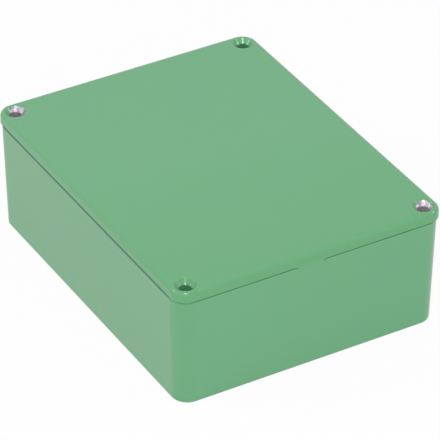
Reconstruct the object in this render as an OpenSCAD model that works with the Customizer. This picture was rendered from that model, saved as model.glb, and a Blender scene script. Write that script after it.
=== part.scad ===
// Die cast aluminium box, lid up: a base with four tapped corner bosses, and a lid
// that laps over a tongue on the base's rim and takes four countersunk screws.
// Origin in the middle of the underside, X along the box, Z up, in millimetres.

/* [Outside] */
// Length over the lid
box_length = 119.5; // [90:0.5:190]
// Width over the lid
box_width = 94; // [60:0.5:150]
// Height of the closed box
box_height = 42; // [28:0.5:90]
// Radius of the base's upright corners, at the rim
base_corner = 6.5; // [6:0.1:9]
// Radius of the lid's upright corners, at its lower edge
lid_corner = 5.2; // [4:0.1:7]
// How far the base's rim stands in from the lid's lower edge
rim_inset = 0.1; // [0:0.05:0.5]

/* [Casting] */
// Draft of the base's outer walls, in degrees
base_draft = 1.5; // [0.5:0.1:2.5]
// Draft of the cavity's walls, in degrees
cavity_draft = 1.2; // [0.5:0.1:2]
// Draft of the lid's sides, in degrees
lid_draft = 1.7; // [0.5:0.1:3]
// Thickness of the base's walls at the rim
wall = 2.3; // [1.8:0.1:3]
// Thickness of the base's floor
floor_t = 2.3; // [1.8:0.1:3]
// Thickness of the lid's plate
lid_t = 2.2; // [1.8:0.1:2.6]
// Rounding of the base's lower edge
base_round = 0.7; // [0.2:0.1:1.5]
// Rounding of the lid's upper edge
lid_round = 1.2; // [0.3:0.1:1.4]
// Fillet where the cavity's walls meet its floor
floor_fillet = 1.5; // [0.5:0.1:2]
// Fillet round the foot of each boss
boss_fillet = 1; // [0.5:0.1:2]

/* [Lap joint] */
// Height of the lid's sides
lid_h = 3.8; // [3.5:0.1:5]
// Gap left between the lid's lower edge and the base's shoulder
joint_gap = 0.35; // [0.1:0.05:0.5]
// Width of the base's shoulder, outside the tongue
shoulder = 1.1; // [0.8:0.1:1.4]
// Height of the tongue above the shoulder
tongue_h = 1.6; // [1:0.1:1.8]
// Clearance between the tongue and the lid's skirt
lap_clearance = 0.15; // [0.1:0.05:0.3]

/* [Screw holes] */
// Distance between the screw holes along the box
hole_x = 109.5; // [80:0.5:181]
// Distance between the screw holes across the box
hole_y = 84; // [50:0.5:141]
// Diameter of the clearance hole through the lid
hole_d = 4; // [3.8:0.1:4.8]
// Diameter of the countersink where it meets the top
sink_d = 6.9; // [6.5:0.1:8.2]
// Included angle of the countersink, in degrees
sink_angle = 82; // [80:1:90]
// Rounding of the countersink's lip
sink_lip = 0.3; // [0.1:0.1:0.5]
// Diameter of a base boss at its top
boss_d = 8.4; // [7.6:0.1:9]
// Diameter of a lid pad, which stands on a boss
pad_d = 9.4; // [8.8:0.1:9.8]
// Diameter of the tapped hole in a boss, before its thread is cut
tapped_d = 3; // [2.6:0.1:3.6]
// Depth of the tapped hole
tapped_depth = 15; // [8:0.5:20]

/* [Hidden] */
$fn = 96;
paint = "#7AB28B";
pad_clearance = 0.2;
tongue_draft = 3;
boss_draft = 0.7;
fillet_dip = 0.1;
drill_tip = 118;
through = 1;
root = 0.5;
lid_low = box_height - lid_h;
shoulder_z = lid_low - joint_gap;
tongue_top = shoulder_z + tongue_h;
rim_length = box_length - 2 * rim_inset;
rim_width = box_width - 2 * rim_inset;
sink_depth = (sink_d - hole_d) / 2 / tan(sink_angle / 2);

// Half a section through a block: from the corner's axis out to a sloping side that
// starts at low_r and ends at high_r, with both edges rounded by true arcs.
module edge_section(low_r, high_r, low_z, high_z, low_round, high_round) {
  lean = atan((high_r - low_r) / (high_z - low_z));
  low_t = low_round * tan((90 - lean) / 2);
  high_t = high_round * tan((90 + lean) / 2);
  polygon([
    [0, low_z],
    [low_r - low_t, low_z],
    [low_r + low_t * sin(lean), low_z + low_t * cos(lean)],
    [high_r - high_t * sin(lean), high_z - high_t * cos(lean)],
    [high_r - high_t, high_z],
    [0, high_z]
  ]);
  if (low_round > 0) translate([low_r - low_t, low_z + low_round]) circle(low_round);
  if (high_round > 0) translate([high_r - high_t, high_z - high_round]) circle(high_round);
}

// A block with drafted sides, rounded upright corners and rounded edges.
// Its length, width and corner radius hold at its wide end, and it narrows by draft
// degrees towards its bottom, or towards its top where draft is negative.
module cast_block(length, width, corner, low_z, high_z, draft, low_round = 0, high_round = 0) {
  taper = (high_z - low_z) * tan(abs(draft));
  low_r = draft > 0 ? corner - taper : corner;
  high_r = draft > 0 ? corner : corner - taper;
  reach_x = length / 2 - corner;
  reach_y = width / 2 - corner;
  module side() edge_section(low_r, high_r, low_z, high_z, low_round, high_round);
  module slice(reach) {
    for (turn = [0, 1]) mirror([turn, 0]) translate([reach, 0]) side();
    translate([-reach, low_z]) square([2 * reach, high_z - low_z]);
  }
  rotate([90, 0, 0]) linear_extrude(2 * reach_y, center = true) slice(reach_x);
  rotate([90, 0, 90]) linear_extrude(2 * reach_x, center = true) slice(reach_y);
  for (x = [0, 1], y = [0, 1]) mirror([x, 0, 0]) mirror([0, y, 0])
    translate([reach_x, reach_y, 0]) rotate_extrude() side();
}

module at_holes() {
  for (x = [-1, 1], y = [-1, 1]) translate([x * hole_x / 2, y * hole_y / 2, 0]) children();
}

// One boss: drafted, with a fillet at its foot that dips a little into the floor.
module boss() {
  fillet_z = floor_t + boss_fillet - fillet_dip;
  fillet_r = boss_d / 2 + (lid_low - fillet_z) * tan(boss_draft);
  foot_r = fillet_r + boss_fillet;
  rotate_extrude() difference() {
    polygon([
      [0, floor_t / 2],
      [foot_r, floor_t / 2],
      [foot_r, fillet_z],
      [fillet_r, fillet_z],
      [boss_d / 2, lid_low],
      [0, lid_low]
    ]);
    translate([foot_r, fillet_z]) circle(boss_fillet);
  }
}

// The four corner bosses. Their outer side ends inside the thickness of the walls, and
// their tops stand proud of the shoulder.
module bosses() {
  intersection() {
    at_holes() boss();
    cast_block(rim_length - 2 * shoulder, rim_width - 2 * shoulder, base_corner - shoulder,
      0, lid_low + through, base_draft);
  }
}

// The cutter for a tapped hole in a boss, with the drill's cone at its end.
module tapped_hole() {
  bore = tapped_d / 2;
  low = lid_low - tapped_depth;
  rotate_extrude() polygon([
    [0, low - bore / tan(drill_tip / 2)],
    [bore, low],
    [bore, lid_low + through],
    [0, lid_low + through]
  ]);
}

// The cutter for a screw hole in the lid: a clearance hole, its cone, and a round lip.
module screw_hole() {
  lean = sink_angle / 2;
  lip_t = sink_lip * tan((90 - lean) / 2);
  rim = sink_d / 2;
  rotate_extrude() difference() {
    polygon([
      [0, lid_low - through],
      [hole_d / 2, lid_low - through],
      [hole_d / 2, box_height - sink_depth],
      [rim - lip_t * sin(lean), box_height - lip_t * cos(lean)],
      [rim + lip_t, box_height],
      [rim + lip_t, box_height + through],
      [0, box_height + through]
    ]);
    translate([rim + lip_t, box_height - sink_lip]) circle(sink_lip);
  }
}

module cavity() {
  cast_block(rim_length - 2 * wall, rim_width - 2 * wall, base_corner - wall,
    floor_t, tongue_top + through, cavity_draft, low_round = floor_fillet);
}

// The tongue stands along the four sides and stops short of the lid's pads.
module tongue() {
  difference() {
    cast_block(rim_length - 2 * shoulder, rim_width - 2 * shoulder, base_corner - shoulder,
      shoulder_z - root, tongue_top, -tongue_draft);
    at_holes() translate([0, 0, shoulder_z])
      cylinder(h = tongue_h + through, d = pad_d + 2 * pad_clearance);
  }
}

module base() {
  color(paint) difference() {
    union() {
      difference() {
        union() {
          cast_block(rim_length, rim_width, base_corner, 0, shoulder_z, base_draft,
            low_round = base_round);
          tongue();
        }
        cavity();
      }
      bosses();
    }
    at_holes() tapped_hole();
  }
}

// The hollow under the lid: clear of the tongue, and full thickness over each boss.
module recess() {
  lap = shoulder - lap_clearance;
  difference() {
    cast_block(rim_length - 2 * lap, rim_width - 2 * lap, base_corner - lap,
      lid_low - through, box_height - lid_t, -tongue_draft);
    at_holes() cylinder(h = box_height, d = pad_d);
  }
}

module lid() {
  color(paint) difference() {
    cast_block(box_length, box_width, lid_corner, lid_low, box_height, -lid_draft,
      high_round = lid_round);
    recess();
    at_holes() screw_hole();
  }
}

base();
lid();
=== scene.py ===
import math

import bmesh
import bpy
from mathutils import Matrix, Vector


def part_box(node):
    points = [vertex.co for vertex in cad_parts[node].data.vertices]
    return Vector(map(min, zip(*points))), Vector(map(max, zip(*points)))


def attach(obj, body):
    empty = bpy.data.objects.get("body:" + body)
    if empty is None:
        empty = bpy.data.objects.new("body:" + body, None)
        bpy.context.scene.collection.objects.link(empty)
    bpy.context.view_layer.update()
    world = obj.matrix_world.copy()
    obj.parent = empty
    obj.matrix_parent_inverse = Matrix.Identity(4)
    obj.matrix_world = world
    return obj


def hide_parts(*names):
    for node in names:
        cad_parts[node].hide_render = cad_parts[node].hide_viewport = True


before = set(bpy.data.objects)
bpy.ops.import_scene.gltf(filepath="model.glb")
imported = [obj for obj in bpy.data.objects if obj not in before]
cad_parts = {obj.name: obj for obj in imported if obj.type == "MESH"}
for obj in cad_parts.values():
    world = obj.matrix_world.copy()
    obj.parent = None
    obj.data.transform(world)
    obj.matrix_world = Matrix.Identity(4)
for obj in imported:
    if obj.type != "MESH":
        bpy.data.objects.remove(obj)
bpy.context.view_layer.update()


# --- Base casting -----------------------------------------------------------------------
# The lower half is one pressure die casting in aluminium: thin drafted walls, a boss in
# each corner for a lid screw, and a tongue along the rim that the lid's skirt laps over.

MM = 0.001
WALL = 2.3 * MM
FLOOR = 2.3 * MM
SHOULDER = 1.1 * MM
# The coat fills the joint to this much, and softens the edges beside it.
JOINT_GAP = 0.22 * MM
EDGE_SOFT = 0.4 * MM
BASE_CORNER = 6.5 * MM
BASE_DRAFT = math.radians(1.5)
CAVITY_DRAFT = math.radians(1.2)
TONGUE_DRAFT = math.radians(3)
BOSS_DRAFT = math.radians(0.7)
FOOT_ROUND = 0.7 * MM
FLOOR_FILLET = 1.5 * MM
BOSS_FILLET = 1 * MM
FILLET_DIP = 0.1 * MM
HOLE_X = 109.5 * MM / 2
HOLE_Y = 84 * MM / 2
BOSS_R = 4.2 * MM
PAD_R = 4.7 * MM
PAD_CLEARANCE = 0.2 * MM
TAPPED_R = 1.5 * MM
TAPPED_DEPTH = 15 * MM
DRILL_TIP = math.radians(118)
# How far a cutter or a joined piece reaches past the face it meets.
OVERCUT = 1 * MM
CORNER_STEPS = 16
ROUND_STEPS = 6
TURN_STEPS = 48
DRILL_STEPS = 32
SAME_HEIGHT = 1e-6
SAME_POINT = 1e-7
SHORT_EDGE = 2e-6
SIDE_NORMAL_Z = 0.7
SHARP_EDGE = math.radians(32)
NORMAL_WEIGHT = 100

base_low, base_high = (Vector(corner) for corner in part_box("base"))
lid_low, lid_high = (Vector(corner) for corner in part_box("lid"))
rim_length = base_high.x - base_low.x
rim_width = base_high.y - base_low.y
shoulder_z = lid_low.z - JOINT_GAP
tongue_z = base_high.z
joint_z = shoulder_z + JOINT_GAP / 2
holes = [(x * HOLE_X, y * HOLE_Y) for x in (-1, 1) for y in (-1, 1)]


def ring_edges(mesh, height):
    """The edges of a block that lie flat at one height and run round its outside."""
    flat = [e for e in mesh.edges if all(abs(v.co.z - height) < SAME_HEIGHT for v in e.verts)]
    return [e for e in flat if any(abs(f.normal.z) < SIDE_NORMAL_Z for f in e.link_faces)]


def bevel(mesh, edges, radius, steps):
    """Rounds the edges by an arc of the given radius."""
    bmesh.ops.bevel(mesh, geom=edges, offset=radius, segments=steps, profile=0.5,
                    affect="EDGES", offset_type="OFFSET", material=-1, clamp_overlap=True)


def cast_block(length, width, corner, low, high, draft, foot=0.0, top=0.0):
    """A block with round upright corners that narrows by draft: downwards, or upwards
    where draft is negative. foot and top round its lower and upper edges."""
    mesh = bmesh.new()
    middle = Matrix.Translation((0, 0, (low + high) / 2))
    size = Matrix.Diagonal((length, width, high - low, 1))
    bmesh.ops.create_cube(mesh, size=1, matrix=middle @ size)
    upright = [e for e in mesh.edges
               if abs(e.verts[0].co.z - e.verts[1].co.z) > (high - low) / 2]
    bevel(mesh, upright, corner, CORNER_STEPS)
    reach = Vector((length / 2 - corner, width / 2 - corner))
    narrow = low if draft > 0 else high
    kept = 1 - (high - low) * math.tan(abs(draft)) / corner
    for vert in mesh.verts:
        if abs(vert.co.z - narrow) > SAME_HEIGHT:
            continue
        for axis in (0, 1):
            centre = max(-reach[axis], min(reach[axis], vert.co[axis]))
            vert.co[axis] = centre + (vert.co[axis] - centre) * kept
    mesh.normal_update()
    for height, radius in ((low, foot), (high, top)):
        if radius > 0:
            bevel(mesh, ring_edges(mesh, height), radius, ROUND_STEPS)
    bmesh.ops.recalc_face_normals(mesh, faces=mesh.faces)
    return mesh


def turned(outline, at, steps=TURN_STEPS):
    """A closed solid turned about an upright axis from a list of (radius, height)."""
    mesh = bmesh.new()
    line = [mesh.verts.new((r, 0, z)) for r, z in outline]
    edges = [mesh.edges.new(pair) for pair in zip(line, line[1:])]
    bmesh.ops.spin(mesh, geom=line + edges, axis=(0, 0, 1), cent=(0, 0, 0),
                   angle=2 * math.pi, steps=steps, use_merge=True)
    bmesh.ops.remove_doubles(mesh, verts=mesh.verts, dist=SAME_POINT)
    bmesh.ops.recalc_face_normals(mesh, faces=mesh.faces)
    bmesh.ops.translate(mesh, verts=mesh.verts, vec=(at[0], at[1], 0))
    return mesh


def solid(mesh, name):
    """An object made of a finished bmesh, which is used up."""
    data = bpy.data.meshes.new(name)
    mesh.to_mesh(data)
    mesh.free()
    piece = bpy.data.objects.new(name, data)
    bpy.context.scene.collection.objects.link(piece)
    return piece


def combine(body, operation, tool):
    """Joins the tool to the body, cuts it away, or keeps only what both share."""
    step = body.modifiers.new("step", "BOOLEAN")
    step.operation = operation
    step.solver = "EXACT"
    step.object = tool
    ready = body.evaluated_get(bpy.context.evaluated_depsgraph_get())
    data = bpy.data.meshes.new_from_object(ready)
    body.modifiers.clear()
    body.data = data
    bpy.data.objects.remove(tool)


def smooth(piece):
    """Cleans the piece's mesh, and shades it smooth except across its sharp edges."""
    mesh = bmesh.new()
    mesh.from_mesh(piece.data)
    bmesh.ops.remove_doubles(mesh, verts=mesh.verts, dist=SHORT_EDGE)
    bmesh.ops.dissolve_degenerate(mesh, edges=mesh.edges, dist=SHORT_EDGE)
    for face in mesh.faces:
        face.smooth = True
    for edge in mesh.edges:
        edge.smooth = edge.calc_face_angle(0) < SHARP_EDGE
    mesh.to_mesh(piece.data)
    mesh.free()
    even = piece.modifiers.new("even", "WEIGHTED_NORMAL")
    even.keep_sharp = True
    even.weight = NORMAL_WEIGHT


base = solid(cast_block(rim_length, rim_width, BASE_CORNER, 0, shoulder_z, BASE_DRAFT,
                        foot=FOOT_ROUND, top=EDGE_SOFT), "base_casting")
inside_shoulder = (rim_length - 2 * SHOULDER, rim_width - 2 * SHOULDER, BASE_CORNER - SHOULDER)
tongue = solid(cast_block(*inside_shoulder, shoulder_z - OVERCUT / 2, tongue_z, -TONGUE_DRAFT,
                          top=EDGE_SOFT), "tongue")
clear_r = PAD_R + PAD_CLEARANCE
for at in holes:
    clear = turned([(0, shoulder_z - OVERCUT), (clear_r, shoulder_z - OVERCUT),
                    (clear_r, tongue_z + OVERCUT), (0, tongue_z + OVERCUT)], at)
    combine(tongue, "DIFFERENCE", solid(clear, "clear"))
combine(base, "UNION", tongue)
cavity = cast_block(rim_length - 2 * WALL, rim_width - 2 * WALL, BASE_CORNER - WALL,
                    FLOOR, tongue_z + OVERCUT, CAVITY_DRAFT, foot=FLOOR_FILLET)
combine(base, "DIFFERENCE", solid(cavity, "cavity"))

fillet_z = FLOOR + BOSS_FILLET - FILLET_DIP
fillet_r = BOSS_R + (lid_low.z - fillet_z) * math.tan(BOSS_DRAFT)
quarter = [math.radians(90 * step / ROUND_STEPS) for step in range(ROUND_STEPS, -1, -1)]
foot = [(fillet_r + BOSS_FILLET * (1 - math.cos(a)), fillet_z - BOSS_FILLET * math.sin(a))
        for a in quarter]
boss_outline = [(0, FLOOR / 2), (foot[0][0], FLOOR / 2), *foot,
                (BOSS_R, lid_low.z), (0, lid_low.z)]
for at in holes:
    boss = solid(turned(boss_outline, at), "boss")
    inner = cast_block(*inside_shoulder, 0, lid_low.z + OVERCUT, BASE_DRAFT)
    combine(boss, "INTERSECT", solid(inner, "inner"))
    combine(base, "UNION", boss)

tapped_low = lid_low.z - TAPPED_DEPTH
for at in holes:
    drill = turned([(0, tapped_low - TAPPED_R / math.tan(DRILL_TIP / 2)),
                    (TAPPED_R, tapped_low), (TAPPED_R, lid_low.z + OVERCUT),
                    (0, lid_low.z + OVERCUT)], at, DRILL_STEPS)
    combine(base, "DIFFERENCE", solid(drill, "drill"))

# The shoulder of the end at +X has a high spot in its middle that fills the joint: it is
# flush with the wall and the lid there, and runs back into the joint on both sides.
SPOT_LENGTH = 20 * MM
SPOT_FACE = 0.35
SPOT_DEPTH = 1.5 * SHOULDER
SPOT_REACH = 0.5 * MM
SPOT_BEHIND_LID = 0.01 * MM
SPOT_Y = -1 * MM
spot_mesh = bmesh.new()
spot_size = Matrix.Diagonal((SPOT_DEPTH, SPOT_LENGTH, JOINT_GAP + 2 * SPOT_REACH, 1))
spot_at = Vector((rim_length / 2 - SPOT_DEPTH / 2, SPOT_Y, joint_z))
bmesh.ops.create_cube(spot_mesh, size=1, matrix=Matrix.Translation(spot_at) @ spot_size)
outer = [v for v in spot_mesh.verts if v.co.x > spot_at.x]
bmesh.ops.scale(spot_mesh, verts=outer, vec=(1, SPOT_FACE, 1),
                space=Matrix.Translation(-spot_at))
lid_overhang = (lid_high.x - lid_low.x - rim_length) / 2
bmesh.ops.translate(spot_mesh, verts=[v for v in outer if v.co.z > joint_z],
                    vec=(lid_overhang - SPOT_BEHIND_LID, 0, 0))
combine(base, "UNION", solid(spot_mesh, "high_spot"))
smooth(base)


def linear(hex_colour):
    """An sRGB hex colour as Blender's linear one."""
    parts = [int(hex_colour[i:i + 2], 16) / 255 for i in (1, 3, 5)]
    return [c / 12.92 if c <= 0.04045 else ((c + 0.055) / 1.055) ** 2.4 for c in parts] + [1.0]


def node(tree, kind, settings=None, **links):
    """Adds a shader node. A key is a socket's name with _ for a space, or n and the
    socket's number. Its value is a socket to link from, or a plain value."""
    new = tree.nodes.new(kind)
    for key, value in (settings or {}).items():
        setattr(new, key, value)
    for key, value in links.items():
        numbered = key[0] == "n" and key[1:].isdigit()
        socket = new.inputs[int(key[1:]) if numbered else key.replace("_", " ")]
        if isinstance(value, bpy.types.NodeSocket):
            tree.links.new(value, socket)
        else:
            socket.default_value = value
    return new


def material(name):
    """A new material, and its node tree, which is empty."""
    made = bpy.data.materials.new(name)
    made.use_nodes = True
    made.node_tree.nodes.clear()
    return made, made.node_tree


# Polyester powder coat, sprayed dry and baked: it flows into a smooth satin gloss with a
# faint orange peel, whose waves are about 1.5 mm long and a few microns deep. Its shade
# drifts a little with its thickness. Its colour is darkened with painted shade inside the
# screw holes and in the joint along the side at -Y. Where the casting was masked or hung up,
# bare aluminium shows, dull and blotched with oxide, and the coat ends in a step as high as
# it is thick. The turning tool's rings there lie too close to be seen one by one, and
# spread the metal's highlights.
COAT = "#65A87C"
COAT_THICK = "#68A976"
# A darker, yellower tone of the coat towards the end at +X.
COAT_END_TINT = "#61A672"
# Painted shade for the coat down in the screw holes.
HOLE_PAINTED_SHADE = "#5A9A70"
# Painted shade for the joint between lid and base.
JOINT_PAINTED_SHADE = "#488061"
BARE_METAL = "#BAB3BB"
BARE_OXIDE = "#968D97"
COAT_IOR = 1.5
COAT_ROUGH = 0.2
METAL_ROUGH = 0.42
METALLIC_IN_HOLE = 0.25
DRIFT_WAVE = 14 * MM
END_TINT_START_X = -5 * MM
END_TINT_FULL_X = 58 * MM
PEEL_WAVE = 1.5 * MM
PEEL_DEPTH = 0.02 * MM
PEEL_STRENGTH = 0.12
BLOTCH_WAVE = 1.1 * MM
OXIDE_START = 0.4
OXIDE_FULL = 0.6
TOOL_MARKS = 0.14 * MM
TOOL_DEPTH = 0.01 * MM
TOOL_STRENGTH = 0.5
EDGE_WANDER = 0.35 * MM
EDGE_FADE = 0.05 * MM
EDGE_DEPTH = 0.06 * MM
EDGE_STRENGTH = 0.6
# Where the painted shade in the screw holes lies, and how it fades.
HOLE_SHADE_R = 2.2 * MM
HOLE_SHADE_DEPTH = 1.5 * MM
HOLE_SHADE_FADE = 0.15 * MM
# Where the painted shade in the joint lies, and how it fades.
JOINT_SHADE_HALF = 0.42 * MM
JOINT_SHADE_FADE = 0.35 * MM
JOINT_SHADE_SIDE_Y = -44 * MM
JOINT_SHADE_SIDE_FADE = 4 * MM
JOINT_SHADE_END_X = 50 * MM
JOINT_SHADE_END_FADE = 6 * MM


def powder_coat(name, end_tint_share, hole_low, bare_limit, bare_discs):
    """The coated casting. Its colour shifts a little darker and yellower towards its end at +X,
    up to end_tint_share.
    Its screw holes reach down to the height hole_low. It is bare there within bare_limit
    of a screw's axis, where that lies inside one of the discs, each given by its middle
    and radius."""
    made, tree = material(name)
    place = node(tree, "ShaderNodeTexCoord").outputs["Object"]
    split = node(tree, "ShaderNodeSeparateXYZ", Vector=place).outputs
    flat = node(tree, "ShaderNodeVectorMath", {"operation": "MULTIPLY"}, n0=place,
                n1=(1, 1, 0)).outputs[0]
    folded = node(tree, "ShaderNodeVectorMath", {"operation": "ABSOLUTE"}, n0=flat).outputs[0]
    from_axis = node(tree, "ShaderNodeVectorMath", {"operation": "DISTANCE"}, n0=folded,
                     n1=(HOLE_X, HOLE_Y, 0)).outputs["Value"]

    # Bare metal, with a ragged edge to the coat.
    blotch = node(tree, "ShaderNodeTexNoise", Vector=place, Scale=1 / BLOTCH_WAVE,
                  Detail=3.0).outputs["Fac"]
    ragged = node(tree, "ShaderNodeMapRange", Value=blotch, To_Min=-EDGE_WANDER,
                  To_Max=EDGE_WANDER).outputs[0]
    in_discs = 0.0
    for middle, radius in bare_discs:
        to_middle = node(tree, "ShaderNodeVectorMath", {"operation": "DISTANCE"}, n0=flat,
                         n1=(middle[0], middle[1], 0)).outputs["Value"]
        to_edge = node(tree, "ShaderNodeMath", n0=to_middle, n1=ragged).outputs[0]
        disc = node(tree, "ShaderNodeMapRange", Value=to_edge, From_Min=radius - EDGE_FADE,
                    From_Max=radius + EDGE_FADE, To_Min=1.0, To_Max=0.0).outputs[0]
        in_discs = node(tree, "ShaderNodeMath", {"operation": "MAXIMUM"}, n0=in_discs,
                        n1=disc).outputs[0]
    above_low = node(tree, "ShaderNodeMapRange", Value=split["Z"],
                     From_Min=hole_low - EDGE_FADE, From_Max=hole_low + EDGE_FADE).outputs[0]
    in_limit = node(tree, "ShaderNodeMapRange", Value=from_axis,
                    From_Min=bare_limit - EDGE_FADE, From_Max=bare_limit + EDGE_FADE,
                    To_Min=above_low, To_Max=0.0).outputs[0]
    metal = node(tree, "ShaderNodeMath", {"operation": "MULTIPLY"}, n0=in_discs,
                 n1=in_limit).outputs[0]

    # Painted shade in the joint, along the side at -Y and short of the end at +X.
    off_joint = node(tree, "ShaderNodeMath", {"operation": "SUBTRACT"}, n0=split["Z"],
                     n1=joint_z).outputs[0]
    off_joint = node(tree, "ShaderNodeMath", {"operation": "ABSOLUTE"}, n0=off_joint).outputs[0]
    joint_shade = node(tree, "ShaderNodeMapRange", Value=off_joint, From_Min=JOINT_SHADE_HALF,
                From_Max=JOINT_SHADE_HALF + JOINT_SHADE_FADE, To_Min=1.0, To_Max=0.0).outputs[0]
    joint_shade = node(tree, "ShaderNodeMapRange", Value=split["Y"], From_Min=JOINT_SHADE_SIDE_Y,
                From_Max=JOINT_SHADE_SIDE_Y + JOINT_SHADE_SIDE_FADE, To_Min=joint_shade, To_Max=0.0).outputs[0]
    joint_shade = node(tree, "ShaderNodeMapRange", Value=split["X"], From_Min=JOINT_SHADE_END_X,
                From_Max=JOINT_SHADE_END_X + JOINT_SHADE_END_FADE, To_Min=joint_shade, To_Max=0.0).outputs[0]

    # Painted shade down in the screw holes: a darker coat colour there.
    shade_z = lid_high.z - HOLE_SHADE_DEPTH
    in_hole = node(tree, "ShaderNodeMapRange", Value=split["Z"],
                   From_Min=shade_z - HOLE_SHADE_FADE, From_Max=shade_z + HOLE_SHADE_FADE,
                   To_Min=above_low, To_Max=0.0).outputs[0]
    in_hole = node(tree, "ShaderNodeMapRange", Value=from_axis, From_Min=HOLE_SHADE_R,
                   From_Max=HOLE_SHADE_R + 2 * EDGE_FADE, To_Min=in_hole, To_Max=0.0).outputs[0]

    # The coat's shade, with the other surfaces laid over it.
    drift = node(tree, "ShaderNodeTexNoise", Vector=place, Scale=1 / DRIFT_WAVE,
                 Detail=2.0).outputs["Fac"]
    colour = node(tree, "ShaderNodeMix", {"data_type": "RGBA"}, n0=drift, n6=linear(COAT),
                  n7=linear(COAT_THICK)).outputs[2]
    # The darker, yellower tone towards the end at +X.
    end_tint = node(tree, "ShaderNodeMapRange", Value=split["X"], From_Min=END_TINT_START_X,
                 From_Max=END_TINT_FULL_X, To_Max=end_tint_share).outputs[0]
    oxide = node(tree, "ShaderNodeMapRange", Value=blotch, From_Min=OXIDE_START,
                 From_Max=OXIDE_FULL).outputs[0]
    bare = node(tree, "ShaderNodeMix", {"data_type": "RGBA"}, n0=oxide, n6=linear(BARE_METAL),
                n7=linear(BARE_OXIDE)).outputs[2]
    # Laid over the coat in turn: the tone towards +X, painted shade in the joint and in the
    # screw holes, and bare metal.
    for share, shade in ((end_tint, linear(COAT_END_TINT)), (joint_shade, linear(JOINT_PAINTED_SHADE)),
                         (in_hole, linear(HOLE_PAINTED_SHADE)), (metal, bare)):
        colour = node(tree, "ShaderNodeMix", {"data_type": "RGBA"}, n0=share, n6=colour,
                      n7=shade).outputs[2]
    rough = node(tree, "ShaderNodeMapRange", Value=metal, To_Min=COAT_ROUGH,
                 To_Max=METAL_ROUGH).outputs[0]
    # Metal mirrors less at the coat's edge, and less still down in a hole, dull with oxide.
    metallic = node(tree, "ShaderNodeMapRange", Value=in_hole, To_Min=metal,
                    To_Max=METALLIC_IN_HOLE).outputs[0]
    metallic = node(tree, "ShaderNodeMath", {"operation": "MULTIPLY"}, n0=metallic,
                    n1=metal).outputs[0]

    # Relief: orange peel, the turning tool's rings on bare metal, and the coat's edge.
    peel = node(tree, "ShaderNodeTexNoise", Vector=place, Scale=1 / PEEL_WAVE,
                Detail=1.0).outputs["Fac"]
    skin = node(tree, "ShaderNodeBump", Strength=PEEL_STRENGTH, Distance=PEEL_DEPTH,
                Height=peel).outputs[0]
    rings = node(tree, "ShaderNodeMath", {"operation": "MULTIPLY"}, n0=from_axis,
                 n1=2 * math.pi / TOOL_MARKS).outputs[0]
    rings = node(tree, "ShaderNodeMath", {"operation": "SINE"}, n0=rings).outputs[0]
    rings = node(tree, "ShaderNodeMath", {"operation": "MULTIPLY"}, n0=rings,
                 n1=metal).outputs[0]
    marks = node(tree, "ShaderNodeBump", Strength=TOOL_STRENGTH, Distance=TOOL_DEPTH,
                 Height=rings, Normal=skin).outputs[0]
    coat_edge = node(tree, "ShaderNodeBump", {"invert": True}, Strength=EDGE_STRENGTH,
                     Distance=EDGE_DEPTH, Height=metal, Normal=marks).outputs[0]

    surface = node(tree, "ShaderNodeBsdfPrincipled", Base_Color=colour, Metallic=metallic,
                   Roughness=rough, IOR=COAT_IOR, Normal=coat_edge)
    node(tree, "ShaderNodeOutputMaterial", Surface=surface.outputs["BSDF"])
    return made


# The threads are cut after the casting is coated, so the tapped holes are bare.
THREAD_BARE_R = 1.55 * MM
base.data.materials.clear()
base.data.materials.append(powder_coat("green_powder_coat_base", 0.0, tapped_low - OVERCUT,
                                       THREAD_BARE_R, [(at, 2 * THREAD_BARE_R) for at in holes]))
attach(base, "root")
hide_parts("base")


# --- Lid ---------------------------------------------------------------------------------
# A flat cast plate with a skirt that laps over the base's tongue, full thickness pads
# over the bosses, and four countersunk clearance holes. It is coated as the base is.

LID_CORNER = 5.2 * MM
LID_DRAFT = math.radians(1.7)
LID_ROUND = 1.4 * MM
LID_PLATE = 2.2 * MM
LAP_CLEARANCE = 0.15 * MM
SCREW_R = 2.0 * MM
SINK_R = 3.45 * MM
SINK_LEAN = math.radians(38.5)
POOL_LEAN = math.radians(46)
POOL_R = 2.52 * MM
SINK_LIP = 0.9 * MM
LIP_STEPS = 8
LIP_RUN_OUT = 0.02 * MM
LIP_RISE = 0.002 * MM
SINK_STEPS = 72

lid = solid(cast_block(lid_high.x - lid_low.x, lid_high.y - lid_low.y, LID_CORNER, lid_low.z,
                       lid_high.z, -LID_DRAFT, foot=EDGE_SOFT, top=LID_ROUND), "lid_casting")
lap = SHOULDER - LAP_CLEARANCE
recess = solid(cast_block(rim_length - 2 * lap, rim_width - 2 * lap, BASE_CORNER - lap,
                          lid_low.z - OVERCUT, lid_high.z - LID_PLATE, -TONGUE_DRAFT), "recess")
for at in holes:
    pad = turned([(0, lid_low.z - 2 * OVERCUT), (PAD_R, lid_low.z - 2 * OVERCUT),
                  (PAD_R, lid_high.z), (0, lid_high.z)], at)
    combine(recess, "DIFFERENCE", solid(pad, "pad"))
combine(lid, "DIFFERENCE", recess)


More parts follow.
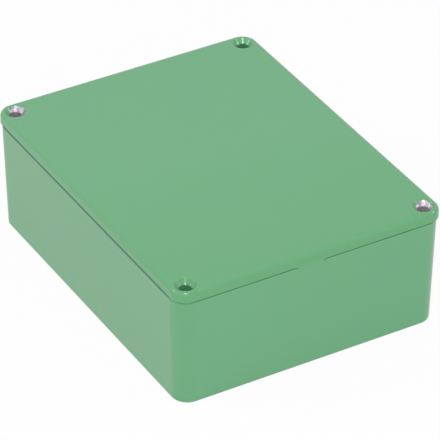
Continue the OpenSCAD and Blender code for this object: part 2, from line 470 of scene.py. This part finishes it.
def screw_hole(at):
    """The cutter for one screw hole: a plain bore, its cone, and a lip rounded by an arc.
    The cone is a little flatter at its foot, where the coat pools, and the lip's last
    point runs out just above the lid's top, so that the cut leaves no sliver there."""
    turn = math.pi / 2 - SINK_LEAN
    lip = SINK_LIP * math.tan(turn / 2)
    angles = [turn * (1 - step / LIP_STEPS) for step in range(LIP_STEPS + 1)]
    arc = [(SINK_R + lip - SINK_LIP * math.sin(a), lid_high.z - SINK_LIP * (1 - math.cos(a)))
           for a in angles]
    pool_z = arc[0][1] - (arc[0][0] - POOL_R) / math.tan(SINK_LEAN)
    bore_z = pool_z - (POOL_R - SCREW_R) / math.tan(POOL_LEAN)
    arc[-1] = (arc[-1][0] + LIP_RUN_OUT, lid_high.z + LIP_RISE)
    outline = [(0, lid_low.z - OVERCUT), (SCREW_R, lid_low.z - OVERCUT), (SCREW_R, bore_z),
               (POOL_R, pool_z), *arc, (arc[-1][0], lid_high.z + OVERCUT),
               (0, lid_high.z + OVERCUT)]
    return turned(outline, at, SINK_STEPS)


for at in holes:
    combine(lid, "DIFFERENCE", solid(screw_hole(at), "screw_hole"))
smooth(lid)

# The lid hung on pins through two of its holes while it was coated, and they kept the coat
# off parts of the countersinks. Each mark is a disc, given by its middle and its radius: two
# overlap in the hole at +X and +Y, and one covers most of the hole at -X and -Y.
BARE_LIMIT = 3.3 * MM
PIN_MARKS = [((HOLE_X - 0.75 * MM, HOLE_Y + 0.5 * MM), 2.35 * MM),
             ((HOLE_X + 0.5 * MM, HOLE_Y + 0.82 * MM), 1.95 * MM),
             ((-HOLE_X + 4 * MM, -HOLE_Y + 6.9 * MM), 9.7 * MM)]
lid.data.materials.clear()
lid.data.materials.append(powder_coat("green_powder_coat_lid", 1.0, lid_low.z - OVERCUT,
                                      BARE_LIMIT, PIN_MARKS))
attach(lid, "root")
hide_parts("lid")


# --- Floor, light and camera ---------------------------------------------------------------
# A white table in a white room. Four large soft lamps light the box and aren't mirrored in
# it. Four small ones, above the camera, on each side and behind, are mirrored, and give the
# bright marks in the screw holes.

FLOOR_REACH = 6
TABLE_GLOW = 0.93
ROOM_LIGHT = 0.36
TABLE_WHITE = "#F2F2F2"
PLAIN_WHITE = "#FFFFFF"


def seen_directly(tree):
    """1 for what the camera sees directly or by reflection, 0 for what lights the object."""
    path = node(tree, "ShaderNodeLightPath").outputs
    first = node(tree, "ShaderNodeMath", {"operation": "MAXIMUM"},
                 n0=path["Is Camera Ray"], n1=path["Is Glossy Ray"])
    return node(tree, "ShaderNodeMath", {"operation": "MAXIMUM"},
                n0=first.outputs[0], n1=path["Is Transmission Ray"]).outputs[0]


# White laminate, pressed flat: matt, with no pattern. It glows where it is seen directly, so
# that it stays an even white and the box's shadow on it is faint.
floor_mesh = bmesh.new()
bmesh.ops.create_grid(floor_mesh, x_segments=1, y_segments=1, size=FLOOR_REACH)
floor = solid(floor_mesh, "floor")
table, tree = material("white_laminate")
laminate = node(tree, "ShaderNodeBsdfDiffuse", Color=linear(TABLE_WHITE))
glow = node(tree, "ShaderNodeEmission", Color=linear(PLAIN_WHITE), Strength=1.0)
share = node(tree, "ShaderNodeMath", {"operation": "MULTIPLY"}, n0=seen_directly(tree),
             n1=TABLE_GLOW)
both = node(tree, "ShaderNodeMixShader", n0=share.outputs[0], n1=laminate.outputs[0],
            n2=glow.outputs[0])
node(tree, "ShaderNodeOutputMaterial", Surface=both.outputs[0])
floor.data.materials.append(table)

world = bpy.data.worlds.new("white_room")
world.use_nodes = True
tree = world.node_tree
tree.nodes.clear()
room = node(tree, "ShaderNodeBackground", Color=linear(PLAIN_WHITE), Strength=ROOM_LIGHT)
white = node(tree, "ShaderNodeBackground", Color=linear(PLAIN_WHITE), Strength=1.0)
both = node(tree, "ShaderNodeMixShader", n0=seen_directly(tree), n1=room.outputs[0],
            n2=white.outputs[0])
node(tree, "ShaderNodeOutputWorld", Surface=both.outputs[0])
bpy.context.scene.world = world

# The lens and the sensor are in millimetres, and the view's distance in metres.
VIEW_AZIMUTH = math.radians(59.76)
VIEW_ELEVATION = math.radians(34.43)
VIEW_ROLL = math.radians(0.29)
VIEW_DISTANCE = 1.1515
AIM_RIGHT = 1.62 * MM
AIM_UP = 15.03 * MM
FOCAL_LENGTH = 295.1
SENSOR_WIDTH = 36


def outwards(azimuth, elevation):
    """The direction towards a viewer. At azimuth 0 the viewer stands at -Y."""
    return Vector((math.sin(azimuth) * math.cos(elevation),
                   -math.cos(azimuth) * math.cos(elevation), math.sin(elevation)))


def lamp(name, azimuth, elevation, distance, width, watts, mirrored=True):
    """A square lamp aimed at the origin. Its angles are in degrees, its distance and width
    in metres. A lamp that isn't mirrored gives light, and no reflection of itself."""
    light = bpy.data.lights.new(name, "AREA")
    light.shape = "SQUARE"
    light.size = width
    light.energy = watts
    stand = bpy.data.objects.new(name, light)
    away = outwards(math.radians(azimuth), math.radians(elevation))
    stand.location = away * distance
    stand.rotation_euler = away.to_track_quat("Z", "Y").to_euler()
    stand.visible_glossy = mirrored
    bpy.context.scene.collection.objects.link(stand)


lamp("lamp_key", 70, 45, 1.0, 0.6, 1.4, mirrored=False)
lamp("lamp_low", 60, 20, 1.0, 0.5, 1.05, mirrored=False)
lamp("lamp_above", 60, 88, 1.0, 0.6, 0.3, mirrored=False)
lamp("lamp_left", -20, 38, 1.0, 0.4, 0.35, mirrored=False)
lamp("spot_camera", 60, 56, 2.5, 0.3, 18.0)
lamp("spot_left", -34, 40, 1.0, 0.2, 1.7)
lamp("spot_right", 154, 40, 1.0, 0.2, 1.4)
lamp("spot_back", 236, 62, 1.0, 0.15, 0.3)

back = outwards(VIEW_AZIMUTH, VIEW_ELEVATION)
right = Vector((math.cos(VIEW_AZIMUTH), math.sin(VIEW_AZIMUTH), 0))
up = back.cross(right)
axes = Matrix((right, up, back)).transposed() @ Matrix.Rotation(VIEW_ROLL, 3, "Z")
stand_at = axes @ Vector((AIM_RIGHT, AIM_UP, VIEW_DISTANCE))
camera = bpy.data.objects.new("camera", bpy.data.cameras.new("camera"))
camera.data.sensor_width = SENSOR_WIDTH
camera.data.lens = FOCAL_LENGTH
camera.matrix_world = Matrix.Translation(stand_at) @ axes.to_4x4()
bpy.context.scene.collection.objects.link(camera)
bpy.context.scene.camera = camera
bpy.context.scene.view_settings.view_transform = "Standard"
